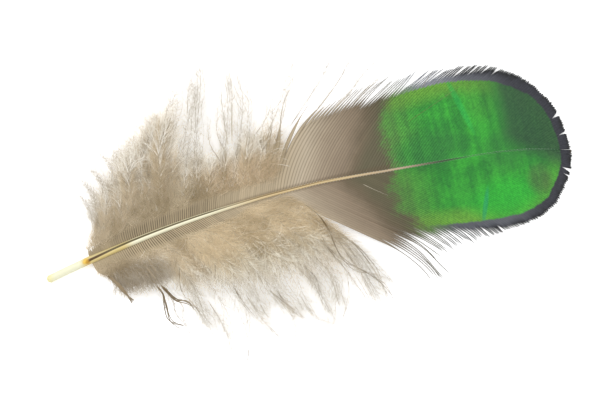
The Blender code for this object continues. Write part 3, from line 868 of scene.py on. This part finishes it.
def make_shaft(finish):
    """Extrudes a ring along the shaft, with a groove down the side of the upper vane."""
    around = 20
    xs = np.concatenate([[0.0, 0.04, 0.12, 0.3], np.linspace(0.7, LAST_BARB + 0.6, 120)])
    work = bmesh.new()
    bmesh.ops.create_circle(work, cap_ends=False, segments=around, radius=1.0)
    work.verts.ensure_lookup_table()
    ring = sorted(work.verts, key=lambda v: math.atan2(v.co.y, v.co.x) % (2 * math.pi))
    edges = list(work.edges)
    turns = {}

    def shape(verts, x):
        middle = shaft_point(x) - [0.0, 0.0, 0.10 * soft_step(57.0, 62.0, x)]
        side = shaft_side(x)
        radius = column(RADIUS, x, 1) * (0.55 + 0.45 * min(1.0, x / 0.3) ** 0.5)
        for n, v in enumerate(verts):
            turn = 2.0 * math.pi * n / around
            turns[v] = (x / LENGTH, n / around)
            deepest = 90.0 - 31.0 * soft_step(5.5, 13.0, x)
            sink = math.exp(-((math.degrees(turn) - deepest) / 15.0) ** 2)
            sink *= 0.28 * soft_step(6.2, 8.5, x) * (1.0 - soft_step(24.0, 32.0, x))
            r = radius * (1.0 - sink)
            flat = r * math.cos(turn)
            v.co = Vector([
                (middle[0] + side[0] * flat + QUILL_END[0]) * MM,
                (middle[1] + side[1] * flat + QUILL_END[1]) * MM,
                max(0.0, middle[2] + max(r, 0.12) * math.sin(turn)) * MM,
            ])

    shape(ring, xs[0])
    first = ring
    for x in xs[1:]:
        made = bmesh.ops.extrude_edge_only(work, edges=edges)["geom"]
        fresh = [g for g in made if isinstance(g, bmesh.types.BMVert)]
        match = {}
        for v in fresh:
            for e in v.link_edges:
                other = e.other_vert(v)
                if other in turns:
                    match[other] = v
        ring = [match[v] for v in ring]
        edges = [work.edges.get((a, b)) for a, b in zip(ring, ring[1:] + ring[:1])]
        shape(ring, x)
    work.faces.new(first[::-1])
    work.faces.new(ring)
    bmesh.ops.recalc_face_normals(work, faces=work.faces)
    layer = work.loops.layers.uv.new("UVMap")
    for face in work.faces:
        face.smooth = True
        for loop in face.loops:
            u, v = turns[loop.vert]
            if v == 0.0 and max(turns[l.vert][1] for l in face.loops) > 0.5 and len(face.loops) == 4:
                v = 1.0
            loop[layer].uv = (u, v)
    mesh = bpy.data.meshes.new("shaft")
    work.to_mesh(mesh)
    work.free()
    return finish_piece("shaft", mesh, finish)


# Vanes and down

def make_vane(name, barbs, side, finish):
    """Makes barbs as strips that overlap like tiles where the vane is closed, and thin out to hairs."""
    made = Strands()
    made.strips(
        np.array([b.path for b in barbs]), np.array([b.half for b in barbs]),
        np.array([b.tone for b in barbs]), np.array([b.rim for b in barbs]),
        np.array([b.loose for b in barbs]), ridge=0.05, slope=-0.012 * side,
    )
    return made.piece(name, finish, "vane")


def add_down(made, path, run, begin, thick, fluff, thin, fade, tone, draw):
    """Adds the down of one barb: curved slivers on both sides, thick at first and sparse to its tip."""
    end = run[-1]
    here = np.sort(draw.uniform(begin, end, int((end - begin) * DOWN_PER_MM)))
    part = here / max(thick, 0.1)
    density = fluff * (1.0 - 0.55 * soft_step(0.4, 1.0, part))
    density = np.where(here < thick, density, fluff * 0.45 * np.exp(-(here - thick) / fade)) + thin
    density *= soft_step(begin, begin + 1.3, here) * 0.97 + 0.03
    here = here[draw.uniform(size=len(here)) < density]
    many = len(here)
    if many < 3:
        return
    start = np.stack([np.interp(here, run, path[:, n]) for n in range(3)], axis=1)
    ahead = np.stack([np.interp(here + 0.3, run, path[:, n]) for n in range(3)], axis=1) - start
    ahead += (path[-1] - path[-3]) * 1e-3
    ahead = unit(ahead)
    left = np.stack([-ahead[:, 1], ahead[:, 0], np.zeros(many)], axis=1)
    hand = draw.choice([-1.0, 1.0], many)[:, None]
    out = np.radians(draw.uniform(28.0, 62.0, many))[:, None]
    turn = np.radians(draw.uniform(4.0, 34.0, many))[:, None]
    first = ahead * np.cos(out) + left * np.sin(out) * hand
    second = ahead * np.cos(turn) + left * np.sin(turn) * hand
    first[:, 2] += draw.normal(0.05, 0.22, many)
    second[:, 2] += draw.normal(-0.02, 0.28, many)
    second += draw.normal(0.0, 0.12, (many, 3))
    length = draw.uniform(1.0, 2.5, many) * min(1.0, 0.5 + 0.5 * fade)
    length *= np.clip((end - here) / 2.2 + 0.25, 0.3, 1.0)
    width = draw.uniform(0.011, 0.022, many) * np.where(here < thick, 1.0, 0.8)
    start[:, 2] += draw.normal(0.0, 0.10, many)
    roll = draw.normal(0.0, 0.35, (many, 3))
    tones = np.clip(tone + draw.normal(0.0, 0.2, many), 0.0, 1.0)
    looseness = soft_step(0.95, 1.6, here / max(thick, 2.0))
    made.slivers(start, first, second, length, width, roll, tones, looseness)


# Single strands: width, shade from dark 0 to light 1, number of hairs, down on them, and the
# places that they pass
STRANDS = [
    (0.11, 0.2, 3, 0.02, [
        (37.4, 1.5), (38.8, -0.4), (39.6, -2.6), (39.9, -5), (40.4, -7), (42, -8.8), (43.6, -9.9),
        (45.2, -11.8), (46, -14.2),
    ]),
    (0.06, 0.4, 2, 0.02, [
        (38.4, -3), (39.2, -5.2), (40.8, -7.8), (43.4, -9.6), (46.2, -11.2), (48, -12.4),
    ]),
    (0.22, 0.05, 4, 0.01, [(14.9, -4.4), (15.4, -5.6), (15.3, -7.6), (15.6, -9.4), (16.7, -10.7)]),
    (0.26, 0.05, 4, 0.01, [(15.5, -4.4), (16.1, -5.5), (17, -6.9), (18.2, -7.5), (19.2, -8.7)]),
    (0.08, 0.3, 2, 0.02, [(15.9, -4.6), (16.4, -6.8), (16.4, -8.8), (17.2, -10.6)]),
    (0.05, 0.45, 2, 0.03, [(16.8, -6.2), (17.6, -8), (17.2, -9.6), (17.6, -12), (18.2, -15.2)]),
    (0.06, 0.4, 2, 0.02, [(18.6, -2.6), (18, -5.2), (18.3, -6.8), (19.4, -8.6)]),
    (0.07, 0.6, 3, 0.06, [(18.6, -7), (19.5, -9.2), (20.1, -11.6)]),
    (0.28, 0.25, 6, 0.02, [(8.6, -1.4), (9.6, -2.8), (10.3, -4), (11.1, -5.5)]),
    (0.05, 0.5, 3, 0.05, [(25, -7), (26.2, -10.6), (28.3, -14.7)]),
    (0.09, 0.1, 1, 0, [(24.9, -15.8), (24.3, -17.2), (23.5, -18.8)]),
    (0.06, 0.55, 5, 0.1, [(29.6, -8.6), (31.2, -11), (33.4, -13.7)]),
    (0.06, 0.15, 2, 0.03, [(35.2, -6.6), (36.4, -8.8), (36.5, -11.4), (37.5, -14.9)]),
    (0.05, 0.5, 3, 0.1, [(33.6, -5.8), (35.4, -8.4), (36, -10.8)]),
    (0.05, 0.5, 2, 0.03, [(40.6, -9.6), (39.8, -12.6), (37.3, -17.1)]),
    (0.05, 0.45, 4, 0.06, [(38.2, -3.6), (39.6, -6.4), (41, -9.4), (42.4, -13.2)]),
    (0.05, 0.5, 4, 0.06, [(40.6, -4.4), (41.6, -7), (42.8, -10.4), (43.4, -14)]),
    (0.05, 0.5, 3, 0.05, [(42.4, -5), (43.6, -7.6), (44.8, -10.8), (45.4, -14.2)]),
    (0.05, 0.5, 3, 0.05, [(36.4, -5), (38, -7.6), (38.8, -10), (38.4, -13)]),
    (0.04, 0.5, 2, 0.02, [(41.4, -8.6), (42.4, -11.4), (43.6, -15.4)]),
    (0.04, 0.4, 2, 0.02, [(43.4, -6.6), (44.8, -9.4), (45.4, -12.8), (46.4, -16)]),
    (0.03, 0.9, 3, 0.04, [(24.4, 17.6), (25.4, 20.4), (26.4, 22.6), (27.4, 24.6)]),
    (0.03, 0.8, 3, 0.03, [(20.2, 15.4), (22.2, 19.4), (24.8, 23.6)]),
    (0.04, 0.8, 4, 0.06, [(29.6, 12), (30.6, 16.4), (31.2, 19.6), (31.7, 23.6)]),
    (0.04, 0.7, 3, 0.06, [(29, 12), (29.3, 16.4), (29.8, 20.6)]),
    (0.04, 0.6, 2, 0.02, [(32.8, 12.4), (34.6, 14), (35.8, 15.6), (37.6, 18.6)]),
    (0.045, 0.6, 4, 0.06, [(38, 12.6), (40.6, 15), (43.4, 17.6), (45.6, 20.4)]),
    (0.045, 0.6, 4, 0.06, [(41, 13), (43.8, 15.2), (46.4, 17.6), (48.6, 20.2)]),
    (0.045, 0.6, 4, 0.06, [(44, 13.2), (46.8, 15), (49.6, 17), (51.4, 18.4)]),
    (0.045, 0.6, 4, 0.06, [(36.4, 12.4), (37.6, 15.4), (39.4, 18.4), (40.4, 21.4)]),
    (0.03, 0.8, 3, 0.03, [(34.4, 12.2), (36.4, 14.6), (38.6, 18.4), (40.4, 21)]),
    (0.04, 0.55, 4, 0.04, [(47, 13.4), (49.2, 14.8), (51.6, 16.2), (53, 17)]),
    (0.03, 0.85, 3, 0.2, [(8.2, 5.6), (8.3, 8), (7.4, 10.2)]),
    (0.03, 0.85, 3, 0.2, [(9.2, 7.6), (9.3, 9.8), (8.3, 12)]),
    (0.03, 0.85, 3, 0.2, [(10.6, 9.4), (10.7, 11.6), (9.6, 13.6)]),
    (0.03, 0.85, 3, 0.2, [(12.2, 11), (12.6, 13), (11.6, 15.2)]),
    (0.04, 0.65, 3, 0.12, [(27.5, 10), (26.6, 13), (27.4, 16.4)]),
    (0.04, 0.65, 3, 0.12, [(28.6, 10.5), (28, 14), (28.8, 18)]),
    (0.04, 0.6, 4, 0.08, [(21.2, -8), (22.3, -12.4), (22.6, -15.8)]),
    (0.04, 0.6, 4, 0.08, [(26.4, -8.6), (27.8, -12.4), (29.6, -15.8)]),
    (0.04, 0.6, 4, 0.08, [(30.6, -9), (31.8, -12.6), (31.6, -16.2)]),
    (0.04, 0.6, 3, 0.06, [(33.6, -10.5), (34.8, -13.8), (37.4, -15.8)]),
    (0.05, 0.95, 1, 0, [(45.6, 2.4), (47, 1.3), (48.6, 0.2)]),
    (0.05, 0.00, 1, 0, [(53.8, 9.2), (58, 10.8), (62.2, 12.4)]),
    (0.07, 0.00, 1, 0, [(56.8, 13.4), (58.2, 14.6), (59.5, 15.7)]),
]


def surface_height(plan):
    """Returns about how high the feather's upper side is at places of its plan."""
    middle = shaft_point(plan[:, 0])
    away = np.clip(np.abs(plan[:, 1] - middle[:, 1]) / 15.0, 0.0, 1.0)
    puff = column(PUFF, plan[:, 0], 1) * np.sin(math.pi * away)
    return middle[:, 2] * (1.0 - away ** DROOP) + 0.2 + puff


def make_strands(finish, draw):
    """Lays the single strands over the down, each as a few hairs that part towards the tip."""
    paths, halves, tones = [], [], []
    made = Strands()
    part = np.linspace(0.0, 1.0, STEPS)
    for width, shade, hairs, fluff, places in STRANDS:
        for _ in range(hairs):
            wander = [draw.normal(0.0, 0.03 + 0.22 * n / len(places), 2) for n in range(len(places))]
            plan = smooth_curve(np.array(places) + wander, STEPS)
            lift = 1.3 + 0.8 * soft_step(36.0, 39.0, plan[:, 0])
            height = np.minimum(surface_height(plan) + lift, HIGHEST)
            path = np.concatenate([plan, height[:, None]], axis=1)
            paths.append(path)
            halves.append(0.5 * width * (1.0 - 0.75 * part) * np.minimum(1.0, part * 8.0 + 0.3))
            tones.append(shade)
            down_tone = min(1.0, shade + 0.5)
            add_down(made, path, run_of(path), 0.3, 0.1, 0.1, fluff, 0.1, down_tone, draw)
    all_loose = np.ones((len(paths), STEPS))
    made.strips(
        np.array(paths), np.array(halves), np.array(tones), NO_RIM * all_loose, all_loose, ridge=0.02
    )
    return made.piece("strands", finish, "down")


def make_down(name, barbs, finish, draw):
    made = Strands()
    for barb in barbs:
        comb = soft_step(9.0, 12.5, barb.root) * (1.0 - soft_step(26.0, 29.0, barb.root) * (barb.side < 0))
        begin = 0.2 + 1.1 * comb
        thin = 0.12 if barb.side > 0 else 0.015 + 0.19 * soft_step(LAST_SHORT, 16.0, barb.root)
        add_down(made, barb.path, barb.run, begin, barb.thick, barb.fluff, thin, barb.fade, barb.tone, draw)
    return made.piece(name, finish, "down")


def make_curls(name, barbs, many, highlight_share, finish, draw):
    """Lays long curly hairs over the down, their light tones painted highlight and their dark tones painted
    shade, with a share of them wide and nearly white.
    """
    made = Strands()
    knots = 7
    paths = []
    tones = []
    begins = []
    for _ in range(many):
        barb = barbs[int(draw.integers(len(barbs)))]
        top = min(barb.thick * 1.1, barb.run[-1] - 0.5)
        if top < 3.0 or barb.root > LAST_CURLED or draw.uniform() > barb.fluff:
            continue
        here = draw.uniform(2.2, top)
        start = np.array([np.interp(here, barb.run, barb.path[:, n]) for n in range(3)])
        ahead = np.array([np.interp(here + 0.4, barb.run, barb.path[:, n]) for n in range(3)]) - start
        heading = math.atan2(ahead[1], ahead[0]) + draw.normal(0.0, 0.28)
        turn = draw.normal(0.0, 0.22) + np.cumsum(draw.normal(0.0, 0.14, knots))
        turn = np.clip(turn, -0.42, 0.42)
        step = draw.uniform(1.6, 4.6) / knots
        angles = heading + np.cumsum(turn * step)
        plan = start[:2] + np.cumsum(np.stack([np.cos(angles), np.sin(angles)], axis=1) * step, axis=0)
        rise = start[2] + draw.uniform(-0.1, 0.3) + np.cumsum(draw.normal(0.0, 0.06, knots))
        if np.min(np.abs(plan[:, 1] - shaft_point(plan[:, 0])[:, 1])) < 1.4:
            continue
        begins.append(here)
        paths.append(np.concatenate([plan, np.clip(rise, 0.1, HIGHEST)[:, None]], axis=1))
        # tones rise from painted shade near the shaft to painted highlight further out
        tones.append(np.clip(draw.normal(0.22 + 0.65 * here / top, 0.3), 0.0, 1.0))
    white = (draw.uniform(size=len(paths)) < highlight_share) & (np.array(begins) > 3.5)
    halves = draw.uniform(0.010, 0.030, len(paths)) * np.where(white, 1.5, 1.0)
    made.ribbons(np.array(paths), halves[:, None] * np.linspace(1.0, 0.4, knots), np.where(white, 1.0, tones))
    return made.piece(name, finish, "down")


# Floor, light and camera

def make_floor():
    work = bmesh.new()
    bmesh.ops.create_grid(work, x_segments=1, y_segments=1, size=1.5)
    mesh = bpy.data.meshes.new("floor")
    work.to_mesh(mesh)
    work.free()
    paint = Paint("pale floor")
    paint.feed(Base_Color=(0.93, 0.93, 0.93), Roughness=0.9, Specular_IOR_Level=0.0)
    paint.feed(Emission_Color=(1.0, 1.0, 1.0), Emission_Strength=0.35)
    mesh.materials.append(paint.material)
    floor = bpy.data.objects.new("floor", mesh)
    bpy.context.scene.collection.objects.link(floor)


def make_light(name, place, target, size, power):
    data = bpy.data.lights.new(name, "AREA")
    data.shape = "SQUARE"
    data.size = size
    data.energy = power
    light = bpy.data.objects.new(name, data)
    light.location = place
    light.rotation_euler = (Vector(target) - Vector(place)).to_track_quat("-Z", "Y").to_euler()
    bpy.context.scene.collection.objects.link(light)


def make_room():
    scene = bpy.context.scene
    world = bpy.data.worlds.new("soft white room")
    scene.world = world
    world.use_nodes = True
    world.node_tree.nodes["Background"].inputs[0].default_value = (1.0, 1.0, 1.0, 1.0)
    world.node_tree.nodes["Background"].inputs[1].default_value = 0.55
    scene.view_settings.view_transform = "Standard"
    make_floor()
    make_light("key", (-0.25, 0.3, 0.55), (0.0, 0.0, 0.0), 0.35, 2.6)
    make_light("fill", (0.35, -0.3, 0.5), (0.0, 0.0, 0.0), 0.5, 1.4)


PHOTO_WIDTH = 84.76
LENS = 100.0
SENSOR = 36.0
VIEW_TURN = -13.95
VIEW_MIDDLE = (37.44, 1.62, 1.5)


def make_camera():
    data = bpy.data.cameras.new("camera")
    data.lens = LENS
    data.sensor_width = SENSOR
    camera = bpy.data.objects.new("camera", data)
    middle = (np.array(VIEW_MIDDLE) + QUILL_END) * MM
    camera.location = (middle[0], middle[1], middle[2] + PHOTO_WIDTH / SENSOR * LENS * MM)
    camera.rotation_euler = (0.0, 0.0, math.radians(VIEW_TURN))
    data.clip_start = 0.01
    bpy.context.scene.collection.objects.link(camera)
    bpy.context.scene.camera = camera


# The feather, its floor, light and camera

vane_finish = paint_vane()
down_finish = paint_down("soft down", (0.80, 0.69, 0.51), (0.50, 0.395, 0.245), 0.85)
# the curls' light colour is painted highlight and their dark colour painted shade
curl_finish = paint_down("curls of down", (0.96, 0.92, 0.83), (0.34, 0.265, 0.16), 0.0)
strand_finish = paint_down("dark strands", (0.60, 0.53, 0.42), (0.12, 0.078, 0.032), 0.0)
make_shaft(paint_shaft())
upper_draw = np.random.default_rng(11)
lower_draw = np.random.default_rng(12)
upper_loose = down_barbs(1, UPPER_PLUMES, upper_draw)
lower_loose = down_barbs(-1, LOWER_PLUMES, lower_draw)
upper_closed = closed_barbs(1, UPPER_PLUMES[-1][0], UPPER_FRINGE, upper_draw)
lower_closed = closed_barbs(-1, LOWER_PLUMES[-1][0], LOWER_FRINGE, lower_draw)
make_vane("upper_vane", upper_loose + upper_closed, 1, vane_finish)
make_vane("lower_vane", lower_loose + lower_closed, -1, vane_finish)
make_down("upper_down", upper_loose, down_finish, upper_draw)
make_down("lower_down", lower_loose, down_finish, lower_draw)
make_curls("upper_curls", upper_loose, 8000, 0.13, curl_finish, upper_draw)
make_curls("lower_curls", lower_loose, 8000, 0.0, curl_finish, lower_draw)
make_strands(strand_finish, np.random.default_rng(31))
make_room()
make_camera()
